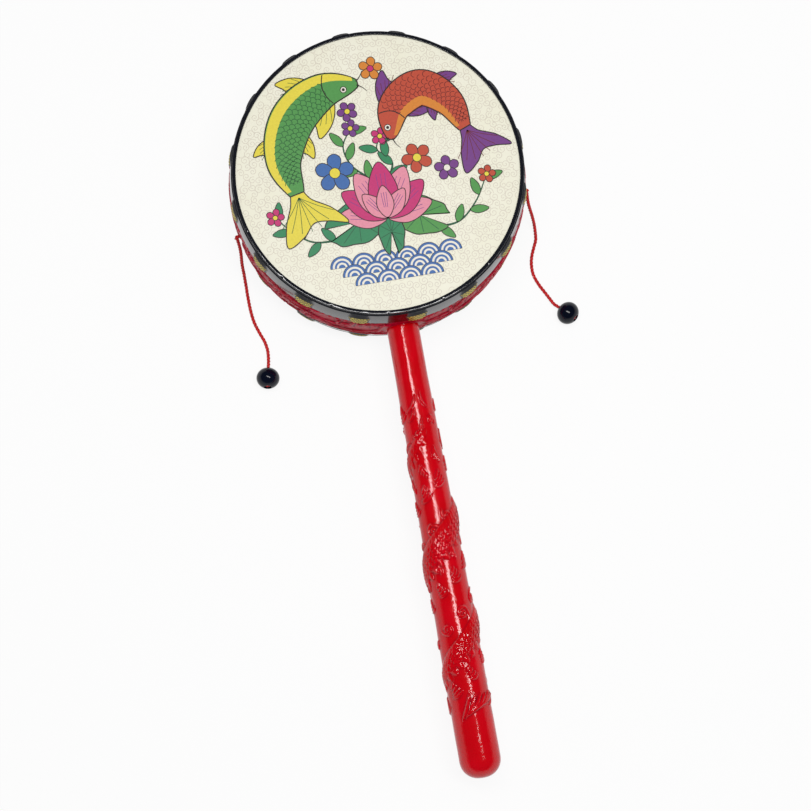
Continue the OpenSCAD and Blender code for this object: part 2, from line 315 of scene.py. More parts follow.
# For each: the fold, the way from it along the table, and the pellet's middle
ROUTES = {
    "left": (
        [-59.7, -25.4, 1.3],
        [[-59.8, -28.2, 0.85], [-59.8, -32, 0.8], [-59.7, -36, 0.8], [-59.4, -40, 0.8],
         [-58.7, -44, 0.8], [-57.3, -48.2, 0.8], [-56, -51.8, 0.8], [-55.4, -55, 1.2],
         [-55.4, -57.8, 1.9], [-55.7, -60.6, 2.9]],
        [-57, -67.7, PELLET_R]),
    "right": (
        [63.4, -25.4, 1.3],
        [[62.9, -28, 0.85], [61.6, -31, 0.8], [60.1, -34.4, 0.8], [59.2, -38.2, 0.8],
         [59.2, -42.4, 0.8], [60.6, -46.8, 0.8], [62.4, -50.4, 0.9], [63.9, -53.6, 1.5],
         [65.2, -56.6, 2.7]],
        [69.8, -61.6, PELLET_R]),
}
STRANDS, STRAND_OFF, STRAND_R, STRAND_SIDES = 3, 0.36, 0.37, 7
KNOT_AT, KNOT_R, KNOT_WAVE, KNOT_TALL, KNOT_STRAND = 2.99, 0.55, 0.22, 0.42, 0.36


def strands(line, along, pitch=4.4):
    """Points and faces of the strands, twisted round a line."""
    a, b = frames(line)
    points, faces = [], []
    for k in range(STRANDS):
        angle = 2 * np.pi * (along / pitch + k / STRANDS)
        middle = line + STRAND_OFF * (a * np.cos(angle)[:, None] + b * np.sin(angle)[:, None])
        p, f = tube(middle, STRAND_R, STRAND_SIDES, sum(len(x) for x in points))
        points.append(p)
        faces += f
    return np.vstack(points), faces


def lathe(profile, n, at, direction):
    """A closed profile of (radius, height) turned round a direction through a point."""
    z = np.asarray(direction) / np.linalg.norm(direction)
    x = np.cross(z, [0.0, 0.0, 1.0])
    x /= np.linalg.norm(x)
    y = np.cross(z, x)
    angle = 2 * np.pi * np.arange(n) / n
    r, h = np.asarray(profile, float).T
    points = (np.asarray(at) + r[:, None, None] * (np.cos(angle)[:, None] * x + np.sin(angle)[:, None] * y)
              + h[:, None, None] * z)
    return points.reshape(-1, 3), grid_faces(len(r), n, wrap_rows=True)


for side, (fold, route, pellet_at) in ROUTES.items():
    angle = math.radians(-CORD_TURN if side == "right" else 180 + CORD_TURN)
    out = np.array([math.cos(angle), math.sin(angle), 0.0])
    lead = LEAD_REACH * out + [0, 0, MID]
    fold, pellet_at = np.array(fold), np.array(pellet_at)
    bore = pellet_at - route[-1]
    bore /= np.linalg.norm(bore)
    drop = fold - lead
    down = drop / np.linalg.norm(drop)
    hang = [lead - out * 0.4, lead + drop * 0.3 - out * 0.7, lead + drop * 0.62 - out * 0.1,
            fold - down * 3.5]
    line, along = smooth_line([*hang, *route, pellet_at - bore * PELLET_L / 2, pellet_at + bore * 1.6])
    points, faces = strands(line, along)
    cord = mesh_piece(f"{side}_cord", points, faces, CORD, None)
    tuple((np.array(route[0]) + DRUM) * MM)
    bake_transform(cord)
    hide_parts(f"{side}_cord_upper", f"{side}_cord_lower")

    # The first turn of the cord, out of the shell's hole
    root, root_along = smooth_line([out * 58.2 + [0, 0, MID], out * 59.6 + [0, 0, MID],
                                    lead - out * 0.35 + [0, 0, 0.12], lead + down * 0.75])
    points, faces = strands(root, root_along)
    lead_piece = mesh_piece(f"{side}_cord_mouth", points, faces, CORD, f"{side}_root")
    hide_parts(f"{side}_cord_lead")

    # Pellet with a rounded bore, opened out at the far end for the knot
    arc = np.radians(np.linspace(-76, 70, 44))
    profile = [(0.95, -3.6), (1.02, -4.05)]
    profile += [(PELLET_R * math.cos(a), PELLET_L / 2 * math.sin(a)) for a in arc]
    profile += [(1.56, 3.95), (1.5, 3.6), (1.5, 1.8), (0.95, 1.7)]
    points, faces = lathe(profile, 64, pellet_at, bore)
    pellet = mesh_piece(f"{side}_bead", points, faces, BEAD, f"{side}_striker")
    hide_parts(f"{side}_pellet")

    # The knot in the pellet's far end
    t = np.linspace(0, 2 * np.pi, 73)
    ring = KNOT_R + KNOT_WAVE * np.cos(3 * t)
    x = np.cross(bore, [0.0, 0.0, 1.0])
    x /= np.linalg.norm(x)
    y = np.cross(bore, x)
    knot_at = pellet_at + bore * KNOT_AT
    loop = (knot_at + (ring * np.cos(2 * t))[:, None] * x + (ring * np.sin(2 * t))[:, None] * y
            + (KNOT_TALL * np.sin(3 * t))[:, None] * bore)
    points, faces = tube(loop, KNOT_STRAND, 8)
    knot = mesh_piece(f"{side}_tied_knot", points, faces, CORD, f"{side}_striker")
    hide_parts(f"{side}_end_knot")
    length = round(float(along[-1]) * MM, 4)
    print("cord", side, length)

# Relief: heights pressed into a grid of (x, y) millimetres


def press(height, xs, ys, line, half, tall):
    """Raises a round-backed stroke along a line. half gives its half width at each point."""
    half = np.broadcast_to(half, len(line))
    for (x0, y0), (x1, y1), w0, w1 in zip(line[:-1], line[1:], half[:-1], half[1:]):
        m = max(w0, w1)
        i0, i1 = np.searchsorted(xs, [min(x0, x1) - m, max(x0, x1) + m])
        j0, j1 = np.searchsorted(ys, [min(y0, y1) - m, max(y0, y1) + m])
        if i0 == i1 or j0 == j1:
            continue
        x, y = np.meshgrid(xs[i0:i1], ys[j0:j1])
        dx, dy = x1 - x0, y1 - y0
        t = np.clip(((x - x0) * dx + (y - y0) * dy) / max(dx * dx + dy * dy, 1e-9), 0, 1)
        w = np.maximum(w0 + (w1 - w0) * t, 1e-4)
        h = tall * np.clip(1 - (np.hypot(x - x0 - t * dx, y - y0 - t * dy) / w) ** 2, 0, 1) ** 0.8
        window = height[j0:j1, i0:i1]
        np.maximum(window, h, out=window)


def hollows(height, passes, strength, most):
    """How far each point of a relief lies below its surroundings, used as the strength of painted shade."""
    blur = height.copy()
    for _ in range(passes):
        blur = (blur + np.roll(blur, 1, 1) + np.roll(blur, -1, 1)
                + np.vstack([blur[:1], blur[:-1]]) + np.vstack([blur[1:], blur[-1:]])) / 5
    return np.clip((blur - height) * strength, 0, most)


def spiral(x, y, big, small, start, turns, n=26):
    """A curl round a point, from its big radius to its small one."""
    t = np.linspace(0, 1, n)
    r = big + (small - big) * t ** 0.8
    a = np.radians(start) + 2 * np.pi * turns * t
    return np.stack([x + r * np.cos(a), y + r * np.sin(a)], -1)


def lick(x, y, angle, length, bend, n=12):
    """A curved flame or leaf stroke from a root point."""
    t = np.linspace(0, 1, n)
    a = np.radians(angle) + np.radians(bend) * t
    step = length / (n - 1)
    return np.stack([x + np.concatenate([[0], np.cumsum(np.cos(a[1:]) * step)]),
                     y + np.concatenate([[0], np.cumsum(np.sin(a[1:]) * step)])], -1)


def leaf_half(n, wide):
    """Half widths along a stroke that swells and ends in a point."""
    t = np.linspace(0, 1, n)
    return wide * np.sin(np.pi * np.clip(t * 0.93 + 0.05, 0, 1)) ** 0.8


# Handle: a scaled body that winds round it, among curls and flames


def handle_r(s):
    """Radius of the bare handle at a distance from the drum's middle."""
    way = np.clip((s - NECK_TO) / (GRIP_FROM - NECK_TO), 0, 1)
    return NECK_R + (GRIP_R - NECK_R) * way * way * (3 - 2 * way)


RELIEF_FROM, RELIEF_TO, FADE = 84, 220, 5
PITCH, WIND_FROM, WIND_TO, WIND_RIGHT = 42.0, 103.0, 206.0, 136.0
BODY_HALF, BODY_TALL = 4.7, 1.25
SCALE_WIDE, SCALE_LONG, PLATE_LONG, FIN_TALL, FIN_LONG = 1.55, 2.2, 1.7, 2.4, 3.6
GOLDEN_ANGLE, MOTIFS = 137.508, 66
# Distances along the handle (s) and round it (c)
ROUND = 2 * math.pi * 8.0
FRONT = ROUND / 4
COLUMNS = 192
ss = np.concatenate([np.linspace(NECK_END, RELIEF_FROM, 30, endpoint=False),
                     np.linspace(RELIEF_FROM, RELIEF_TO, 455, endpoint=False),
                     np.linspace(RELIEF_TO, TIP_FROM, 12)])
cc = np.arange(COLUMNS) * ROUND / COLUMNS
strokes = np.zeros((len(ss), COLUMNS))


def press_round(line, half, tall):
    for shift in (-ROUND, 0, ROUND):
        press(strokes, cc, ss, line + [shift, 0], half, tall)


for k in range(MOTIFS):
    s = 92 + 121 * (k + 0.5) / MOTIFS
    c = (k * GOLDEN_ANGLE % 360) / 360 * ROUND
    size = 0.8 + 0.25 * math.sin(k * 1.7)
    if k % 3 == 0:
        turned, curl = k * 77, 2.4 * size
        start = math.radians(turned)
        press_round(spiral(c, s, curl, 0.4, turned, 1.4), np.linspace(0.72, 0.5, 26), 0.55)
        tail = lick(c + curl * math.cos(start), s + curl * math.sin(start), turned - 100, 5.5 * size, -50)
        press_round(tail, leaf_half(12, 0.75), 0.52)
    elif k % 3 == 1:
        for j in range(4):
            flame = lick(c + 1.1 * j, s - 1.2 * j, 52 + 11 * j, (7.0 - j) * size, -46)
            press_round(flame, leaf_half(12, 0.78), 0.56)
    else:
        for j in range(4):
            flame = lick(c - 1.1 * j, s + 0.9 * j, 228 + 9 * j, (6.0 - 0.7 * j) * size, 40)
            press_round(flame, leaf_half(12, 0.7), 0.5)
for c, s, angle, length, bend in ((-2.0, 86.5, 70, 8, 70), (0.8, 88, 84, 9, -60),
                                  (2.6, 93, 100, 7, -80), (-1.0, 97, 60, 8, 40)):
    press_round(lick(FRONT + c, s, angle, length, bend), leaf_half(12, 0.62), 0.6)
for j in range(7):
    flame = lick(FRONT + 4.5 - 1.6 * j, 216 - 0.9 * j, 232 - 7 * j, 11 - 0.6 * j, 28)
    press_round(flame, leaf_half(12, 0.8), 0.75)

fade = np.clip((ss - RELIEF_FROM) / FADE, 0, 1) * np.clip((RELIEF_TO - 1 - ss) / FADE, 0, 1)
relief = strokes * fade[:, None]
turn_of = cc / ROUND
slope = math.cos(math.atan2(PITCH, ROUND))
body = np.zeros_like(relief)
inside = np.zeros_like(relief)
# The body, one turn of the winding at a time: q goes across it and a along it
for k in range(-2, 4):
    total = turn_of[None, :] + k
    middle = WIND_RIGHT + PITCH * total
    u = np.clip((middle - WIND_FROM) / (WIND_TO - WIND_FROM), 0, 1)
    on = (middle >= WIND_FROM) & (middle <= WIND_TO)
    size = np.where(on, 0.12 + 0.88 * np.sqrt(np.clip(np.sin(np.pi * u), 0, 1)), 0)
    q = (ss[:, None] - middle) * slope
    w = np.maximum(BODY_HALF * size, 1e-3)
    a = total * math.hypot(ROUND, PITCH) + 0 * q
    hump = np.where(on, BODY_TALL * size * np.sqrt(np.clip(1 - (q / w) ** 2, 0, 1)), 0)
    row = np.floor(q / SCALE_WIDE + 0.5)
    tip = a / SCALE_LONG + 0.5 * (row % 2) + 1.7 * (q / SCALE_WIDE - row) ** 2
    scale = 0.48 * (tip - np.floor(tip)) ** 0.8 - 0.16
    plates = 0.16 * np.abs(np.sin(np.pi * a / PLATE_LONG)) - 0.08
    skin = np.where(q < -0.5 * w, plates, scale) * np.clip(hump / 0.5, 0, 1) * np.clip(size * 1.2, 0, 1)
    past = (q - w * 0.94) / FIN_TALL
    spike = 1 - 2 * np.abs((a / FIN_LONG + 0.55 * past) % 1 - 0.5)
    fin = np.where(on & (past > 0) & (past < 1), 0.75 * size * np.clip(spike * 1.5 - past, 0, 1) ** 0.6, 0)
    body = np.maximum(body, np.maximum(hump + skin * (hump > 0.02), fin))
    inside = np.maximum(inside, np.clip(hump / 0.25, 0, 1))
relief = np.maximum(relief * (1 - inside), body)
wave = (0.03 * np.sin(ss[:, None] / 5.3 + 3 * np.cos(2 * np.pi * turn_of))
        + 0.02 * np.sin(ss[:, None] / 1.9 + 9 * turn_of))
r = handle_r(ss)[:, None] + relief + wave * np.clip((ss[:, None] - 70) / 8, 0, 1)
angle = 2 * np.pi * turn_of
grid = np.stack([r * np.cos(angle), -ss[:, None] + 0 * r, MID + r * np.sin(angle)], -1)
# The round tip, and back along the hollow
TIP_ROUND = TIP - TIP_FROM
profile = [(GRIP_R - TIP_ROUND + TIP_ROUND * math.cos(a), TIP_FROM + TIP_ROUND * math.sin(a))
           for a in np.radians(np.linspace(6, 90, 15))]
profile += [(0.01, TIP), (0.01, 231.0), (HOLLOW_R, 230.8), (HOLLOW_R, NECK_END), (NECK_R - 0.3, NECK_END)]
rest = np.array([np.stack([rr * np.cos(angle), np.full(COLUMNS, -s), MID + rr * np.sin(angle)], -1)
                 for rr, s in profile])
rows = np.concatenate([grid, rest])
handle = mesh_piece("handle_relief", rows.reshape(-1, 3), grid_faces(len(rows), COLUMNS, wrap_rows=True),
                    RED, "drum")
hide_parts("handle")
# Painted shade: how deep each point lies in the relief darkens the handle's colour there.
hollow_shade = np.zeros((len(rows), COLUMNS))
hollow_shade[: len(ss)] = hollows(relief, 10, 2.6, 0.85)
point_values(handle, "hollow_shade", hollow_shade)

# Shell: a running scroll of leaves and curls between the hoops

TILES, TILE_COLUMNS, BAND_ROWS, BAND_HALF = 8, 120, 60, 11.5
LEAVES, CURLS, HATCHES = 15, 3, 40
TILE = 2 * math.pi * 59.4 / TILES
uu = np.arange(TILE_COLUMNS) * TILE / TILE_COLUMNS
vv = np.linspace(-BAND_HALF, BAND_HALF, BAND_ROWS)
tile = np.zeros((BAND_ROWS, TILE_COLUMNS))


def press_tile(line, half, tall):
    for shift in (-TILE, 0, TILE):
        press(tile, uu, vv, line + [shift, 0], half, tall)


for row, v in enumerate((-8.5, -3.0, 2.5, 8.0)):
    for k in range(LEAVES):
        u = TILE * (k + 0.4 * row) / LEAVES
        way = 2 * math.pi * u / TILE
        leaf = lick(u, v, 30 + 38 * math.sin(way + 1.9 * row), 8.5, 45 * math.cos(way + row))
        press_tile(leaf, leaf_half(12, 0.95), 0.5 + 0.12 * (k % 3))
for k in range(CURLS):
    u, v = TILE * (k + 0.5) / CURLS, (-5.5, 4.5, -1.0)[k]
    press_tile(spiral(u, v, 3.6, 0.5, 40 + 95 * k, 1.7), np.linspace(0.85, 0.6, 26), 0.72)
u_all = np.arange(TILES * TILE_COLUMNS) * TILE / TILE_COLUMNS
azimuth = 2 * np.pi * np.arange(TILES * TILE_COLUMNS) / (TILES * TILE_COLUMNS)
band = np.tile(tile, (1, TILES))
hatching = np.abs(np.sin((u_all[None, :] + 1.4 * vv[:, None]) * 2 * np.pi / (TILE / HATCHES)))
band = band + 0.07 * hatching * (band < 0.15)
edge = np.clip((BAND_HALF - np.abs(vv)) / 0.9, 0, 1)[:, None]
# Calm round the cords' holes and the handle
calm = np.ones((BAND_ROWS, len(azimuth)))
for hole, reach in ((-CORD_TURN, 3.0), (180 + CORD_TURN, 3.0), (270, 8.2)):
    gap = (np.degrees(azimuth) - hole + 180) % 360 - 180
    away = np.hypot(np.radians(gap)[None, :] * 59.7, vv[:, None])
    calm = np.minimum(calm, np.clip((away - reach) / 1.6, 0, 1))
lift = (band * edge * calm) - 0.35
zz = MID + vv
r = belly_r(zz)[:, None] + lift
outer = np.stack([r * np.cos(azimuth), r * np.sin(azimuth), zz[:, None] + 0 * r], -1)


def ring(radius, z):
    return np.stack([radius * np.cos(azimuth), radius * np.sin(azimuth), np.full(len(azimuth), z)], -1)[None]


low_rings = [ring(SHELL_IN, SPIGOT_END), ring(SPIGOT_R, SPIGOT_END), ring(SPIGOT_R, HOOP_W),
             ring(SHOULDER_R, HOOP_W)]
high_rings = [ring(SHOULDER_R, DEPTH - HOOP_W), ring(SPIGOT_R, DEPTH - HOOP_W),
              ring(SPIGOT_R, DEPTH - SPIGOT_END), ring(SHELL_IN, DEPTH - SPIGOT_END)]
inner_rings = [ring(SHELL_IN, 33), ring(WALL_IN, 27), ring(WALL_IN, 17), ring(SHELL_IN, 11)]
before = len(low_rings)
rows = np.concatenate([*low_rings, outer, *high_rings, *inner_rings])
shell = mesh_piece("shell_relief", rows.reshape(-1, 3), grid_faces(len(rows), len(azimuth), wrap_rows=True),
                   CRIMSON, "drum")
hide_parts("shell")
# Painted shade: the hollows of the leaf scroll are darkened in the shell's colour.
hollow_shade = np.zeros((len(rows), len(azimuth)))
hollow_shade[before: before + BAND_ROWS] = hollows(lift, 8, 4.0, 0.9)
point_values(shell, "hollow_shade", hollow_shade)

# Hoops: lip, stepped edge with its seams, band and gilded studs. d goes down from the lip

STUD_COLUMNS, STUD_R = 64, 59.3
HOOP_COLUMNS = BOSS_N * STUD_COLUMNS
theta = 2 * np.pi * np.arange(HOOP_COLUMNS) / HOOP_COLUMNS + math.radians(BOSS_TURN)
local = (np.arange(HOOP_COLUMNS) + STUD_COLUMNS // 2) % STUD_COLUMNS - STUD_COLUMNS // 2
local = np.radians(local / STUD_COLUMNS * (360 / BOSS_N)) * STUD_R
BOSS_LOW, BOSS_HIGH, BOSS_PEAK, TOOTH, GOLD_FROM = 1.4, 10.25, 9.2, 1.1, 5.0
BEAD_STEP, BEAD_R = 1.25, 0.68
in_tooth = np.array([0.0, 0.012, 0.25, 0.488, 0.5, 0.512, 0.75, 0.988])
band_d = (BOSS_LOW + TOOTH * (np.arange(4)[:, None] + in_tooth)).ravel()
band_d = band_d[(band_d > 1.95) & (band_d < GOLD_FROM - 0.05)]
band_d = np.concatenate([[1.9], band_d, np.arange(GOLD_FROM, BOSS_HIGH, 0.18), [BOSS_HIGH, 10.32, HOOP_W]])
share = np.clip((band_d - BOSS_LOW) / (BOSS_HIGH - BOSS_LOW), 0, 1)
half_at = np.where(share < 0.45, 0.8 + 0.2 * share / 0.45, 1 - 0.2 * (share - 0.45) / 0.55) * BOSS_L / 2
inner = (half_at[:, None] - np.abs(local)[None, :])
crown = np.clip(1 - 0.4 * (local[None, :] / half_at[:, None]) ** 2, 0, 1)
wedge = np.interp(band_d, [BOSS_LOW, BOSS_LOW + 0.5, GOLD_FROM, BOSS_PEAK, BOSS_HIGH],
                  [0, 0.3, 0.2, 0.62, 0])
wedge = wedge[:, None] * np.clip(inner / 0.4, 0, 1) ** 0.7 * crown
tooth = ((band_d - BOSS_LOW) / TOOTH + 1e-6) % 1
tooth = np.where(band_d < GOLD_FROM, 0.55 * np.where(tooth < 0.5, tooth / 0.5, (1 - tooth) / 0.5), 0)
tooth = tooth[:, None] * np.clip(inner / 1.2, 0, 1) * crown
# Gilded beading in four staggered rows
beading = np.zeros_like(tooth)
for row, d in enumerate((5.7, 6.8, 7.9, 9.0)):
    nearest = np.round(local / BEAD_STEP - 0.5 * (row % 2)) * BEAD_STEP + BEAD_STEP / 2 * (row % 2)
    gap = np.hypot(local[None, :] - nearest[None, :], band_d[:, None] - d) / BEAD_R
    fits = half_at[:, None] - np.abs(nearest)[None, :] > 0.9
    beading = np.maximum(beading, np.sqrt(np.clip(1 - gap ** 2, 0, 1)) * fits)
stud = wedge + tooth + 0.3 * beading * crown
gild = np.clip((beading - 0.6) * 6, 0, 1)
matt = np.clip(wedge * 8, 0, 1)
seam = np.clip(1.4 - np.abs(np.abs(local) - math.radians(180 / BOSS_N) * STUD_R) / 0.3, 0, 1)
wander = (0.03 * np.sin(theta * 23 + 2 * np.sin(theta * 7))
          + 0.025 * np.sin(theta * 61 + 1.3 * np.sin(theta * 17)))


def hoop_ring(radius, d):
    return np.stack([radius * np.cos(theta), radius * np.sin(theta), np.full(HOOP_COLUMNS, d)], -1)[None]


lip_rows = [(56.5, HOOP_W - 0.02), (56.5, 0.85), (56.02, 0.8), (56.0, 0.7), (56.0, 0.14), (56.04, 0.04),
            (56.14, 0.0)]
ring_at = [(57.08, 0.0), (57.14, 0.005), (57.2, 0.014), (57.33, 0.034), (57.38, 0.09), (57.4, 0.2)]
step_at = [(57.42, 0.3), (57.45, 0.7), (57.49, 1.2), (57.51, 1.42), (57.56, 1.5), (57.76, 1.57),
           (57.95, 1.65), (57.99, 1.7), (57.97, 1.78), (57.85, 1.84)]
rows = [hoop_ring(r, d) for r, d in lip_rows]
rows += [hoop_ring(r + wander * 0.5 - 0.16 * seam, d + (0.06 * seam + wander * 0.2) * (d > 0))
         for r, d in ring_at]
rows += [hoop_ring(r + wander * 0.5 - 0.2 * seam * (d < 1.45), d) for r, d in step_at]
before = len(rows)
rows += [hoop_ring(belly_r(d) + raised, d) for d, raised in zip(band_d, stud)]
rows.append(hoop_ring(58.95, HOOP_W))
rows = np.concatenate(rows)
gold, dull = np.zeros((2, len(rows), HOOP_COLUMNS))
gold[before: before + len(band_d)] = gild
dull[before: before + len(band_d)] = matt
for name, node, front in (("front_hoop_studs", "front_hoop", True), ("back_hoop_studs", "back_hoop", False)):
    points = rows.copy()
    if front:
        points[..., 2] = DEPTH - points[..., 2]
    faces = grid_faces(len(rows), HOOP_COLUMNS, wrap_rows=True, flip=not front)
    piece = mesh_piece(name, points.reshape(-1, 3), faces, BLACK, "drum")
    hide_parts(node)
    point_values(piece, "gold", gold)
    point_values(piece, "dull", dull)

# Heads: cream film with a printed ground of faint cloud scrolls and a round of carp and lotus

for node, look in (("front_head", FILM), ("back_head", FILM), ("left_anchor", CORD), ("right_anchor", CORD)):
    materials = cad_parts[node].data.materials
    materials.clear()
    materials.append(look)


def srgb(r, g, b):
    c = np.array([r, g, b]) / 255
    return tuple(np.where(c <= 0.04045, c / 12.92, ((c + 0.055) / 1.055) ** 2.4))


class Print:
    """Flat coloured shapes in millimetres on a head, each layer a hair above the last."""

    def __init__(self):
        self.points, self.faces, self.colours, self.level = [], [], [], 0

    def fill(self, outline, colour):
        flat = [Vector((x, y, 0)) for x, y in outline]
        start = len(self.points)
        self.points += [(x, y, self.level) for x, y in outline]
        for tri in geometry.tessellate_polygon([flat]):
            a, b, c = (flat[i] for i in tri)
            tri = tri if (b - a).cross(c - a).z > 0 else tri[::-1]
            self.faces.append(tuple(start + i for i in tri))
            self.colours.append(colour)

    def line(self, path, width, colour, closed=False):
        p = np.asarray(path, float)
        if closed:
            p = np.vstack([p, p[:2]])
        d = np.gradient(p, axis=0)
        d /= np.maximum(np.linalg.norm(d, axis=1), 1e-9)[:, None]
        n = np.stack([-d[:, 1], d[:, 0]], -1) * (np.broadcast_to(width, len(p)) / 2)[:, None]
        start = len(self.points)
        for a, b in zip(p - n, p + n):
            self.points += [(*a, self.level), (*b, self.level)]
        for i in range(len(p) - 1):
            k = start + 2 * i
            self.faces.append((k, k + 2, k + 3, k + 1))
            self.colours.append(colour)

    def shape(self, outline, colour, edge=0.42):
        self.fill(outline, colour)
        self.up()
        if edge:
            self.line(outline, edge, OUTLINE, closed=True)
            self.up()

    def up(self):
        self.level += 1


OUTLINE = srgb(46, 34, 30)
GREEN, LEAF, STEM = srgb(84, 158, 78), srgb(46, 140, 92), srgb(28, 92, 60)
YELLOW, ORANGE, TERRACOTTA = srgb(240, 222, 70), srgb(226, 138, 48), srgb(200, 78, 52)
BLUE, PURPLE, MAGENTA = srgb(62, 110, 178), srgb(122, 62, 140), srgb(206, 44, 118)
PINK, WHITE, SCROLL = srgb(238, 150, 170), srgb(246, 240, 226), srgb(229, 221, 204)
PRINT_R, SCROLL_STEP, SCROLL_WIDE, SCROLL_LEVELS = 55.6, 5.4, 0.24, 8


def curve(points, closed=False):
    """A smooth line or outline through points of the print."""
    p = [(x, y, 0) for x, y in points]
    if closed:
        p = p[-1:] + p + p[:2]
        line = smooth_line(p, 0.6)[0][:, :2]
        first = np.argmin(np.linalg.norm(line - points[0], axis=1)[: len(line) // 2])
        last = len(line) // 2 + np.argmin(np.linalg.norm(line - points[0], axis=1)[len(line) // 2:])
        return line[first:last]
    return smooth_line(p, 0.6)[0][:, :2]


def place(points, at=(0, 0), angle=0.0, size=1.0):
    """Points scaled, turned and then moved."""
    a = math.radians(angle)
    x, y = (np.asarray(points, float) * size).T
    return np.stack([x * math.cos(a) - y * math.sin(a), x * math.sin(a) + y * math.cos(a)], -1) + at


def scroll_ground(art):
    """Traditional cloud scrolls in thin faint lines over the whole head."""
    count = 0
    curls = ((-1.4, 0.3, 2.1, 1.6), (1.5, 0.5, 1.8, -1.5), (0.1, -2.0, 1.6, 1.3))
    for j in range(-13, 14):
        for i in range(-11, 12):
            x, y = (i + 0.5 * (j % 2)) * SCROLL_STEP, j * SCROLL_STEP * 0.88
            a = 60 * ((i * 5 + j * 3) % 6) + 17 * ((i * 7 + j * 11) % 5)
            for m, (dx, dy, big, turns) in enumerate(curls):
                line = place(spiral(dx, dy, big, 0.3, 200 + 70 * m, turns, 20), (x, y), a)
                count += 1
                art.level = SCROLL_LEVELS * (count * 0.618 % 1)
                kept = np.hypot(*line.T) < PRINT_R
                if kept.all():
                    art.line(line, SCROLL_WIDE, SCROLL)
                elif kept.sum() > 4:
                    ends = np.diff(np.concatenate([[False], kept, [False]]).astype(int))
                    first, last = np.flatnonzero(ends)[:2]
                    if last - first > 4:
                        art.line(line[first:last], SCROLL_WIDE, SCROLL)
    art.level = SCROLL_LEVELS + 1


def carp(art, spine, wide, skin, belly, fin, rib):
    """A fish along a spine, from its mouth to its tail."""
    scaled = wide / 8
    line = curve(spine)
    n = len(line)
    t = np.linspace(0, 1, n)
    half = wide * (np.sin(np.pi * np.clip(t * 0.92 + 0.012, 0, 1)) ** 0.62) * (1 - 0.25 * t)
    d = np.gradient(line, axis=0)
    d /= np.linalg.norm(d, axis=1)[:, None]
    side = np.stack([-d[:, 1], d[:, 0]], -1)
    tail_at, tail_d = line[-1], d[-1]
    tail_angle = math.degrees(math.atan2(tail_d[1], tail_d[0]))
    tail = [(-1.5, 1.2), (3, 3.4), (8, 8.4), (14, 11.5), (11.5, 6), (10.5, 1.5), (13.5, -3), (15, -8.8),
            (8.6, -7), (3, -3.4), (-1.5, -1.2)]
    art.shape(place(curve(tail, closed=True), tail_at, tail_angle, scaled), fin)
    for k in range(7):
        ray = lick(1.2, 0, 42 - 14 * k, 11.5, 4 * (3 - k))
        art.line(place(ray, tail_at, tail_angle, scaled), 0.24, rib)
    art.up()
    for at, flip_side, long in ((0.3, 1, 1.0), (0.62, 1, 0.7), (0.33, -1, 0.8), (0.68, -1, 0.6)):
        i = int(at * n)
        root = line[i] + side[i] * half[i] * 0.75 * flip_side
        angle = math.degrees(math.atan2(d[i][1], d[i][0]))
        outline = np.array([(-4, 0), (-2.5, 3), (1.5, 6.2), (6.5, 7.2), (5.2, 3.6), (4.5, 0)])
        outline = outline * [1, flip_side]
        outline = curve([tuple(p) for p in outline], closed=True)
        art.shape(place(outline, root, angle, scaled * long), fin)
        for k in range(5):
            ray = lick(-2.2 + 1.3 * k, 0.4 * flip_side, flip_side * (72 - 9 * k), 5.2, -flip_side * 18)
            art.line(place(ray, root, angle, scaled * long), 0.22, rib)
        art.up()
    outline = np.vstack([line + side * half[:, None], (line - side * half[:, None])[::-1]])
    art.shape(outline, skin, 0.5)
    middle, across = line[3:-3], side[3:-3] * half[3:-3, None]
    art.fill(np.vstack([middle - across * 0.45, (middle - across * 0.94)[::-1]]), belly)
    art.up()
    for i in range(int(0.24 * n), int(0.95 * n), 4):
        for k, v in enumerate(np.linspace(-0.3, 0.78, 6)):
            j = min(n - 1, i + (2 if k % 2 else 0))
            at = line[j] + side[j] * half[j] * v
            angle = math.degrees(math.atan2(d[j][1], d[j][0]))
            art.line(place(spiral(0, 0, 0.135 * wide, 0.135 * wide, 100, 0.45, 8), at, angle), 0.26, rib)
    art.up()
    i = int(0.2 * n)
    gill = [line[i] + side[i] * half[i] * v + d[i] * (1.4 - 2.4 * v * v) for v in np.linspace(-0.9, 0.9, 14)]
    art.line(gill, 0.4, OUTLINE)
    i = int(0.1 * n)
    eye = line[i] + side[i] * half[i] * 0.35
    t = np.radians(np.linspace(0, 345, 24))
    disc = np.stack([np.cos(t), np.sin(t)], -1)
    art.shape(eye + disc * 1.25, WHITE, 0.3)
    art.fill(eye + disc * 0.62, OUTLINE)
    art.up()
    angle = math.degrees(math.atan2(-d[0][1], -d[0][0]))
    for v in (-1, 1):
        barbel = lick(0, v * 0.8, v * 24, 5, v * 40)
        art.line(place(barbel, line[1], angle), np.linspace(0.5, 0.15, 12), OUTLINE)
    art.up()


def blossom(art, at, size, petal, heart, petals=5, turn_by=0):
    for k in range(petals):
        outline = curve([(0, 0), (1.5, 1.3), (3.6, 1.5), (4.6, 0), (3.6, -1.5), (1.5, -1.3)], closed=True)
        art.shape(place(outline, at, turn_by + 360 * k / petals, size), petal, 0.3)
    t = np.radians(np.linspace(0, 340, 18))
    art.shape(np.asarray(at) + np.stack([np.cos(t), np.sin(t)], -1) * 1.25 * size, heart, 0.26)


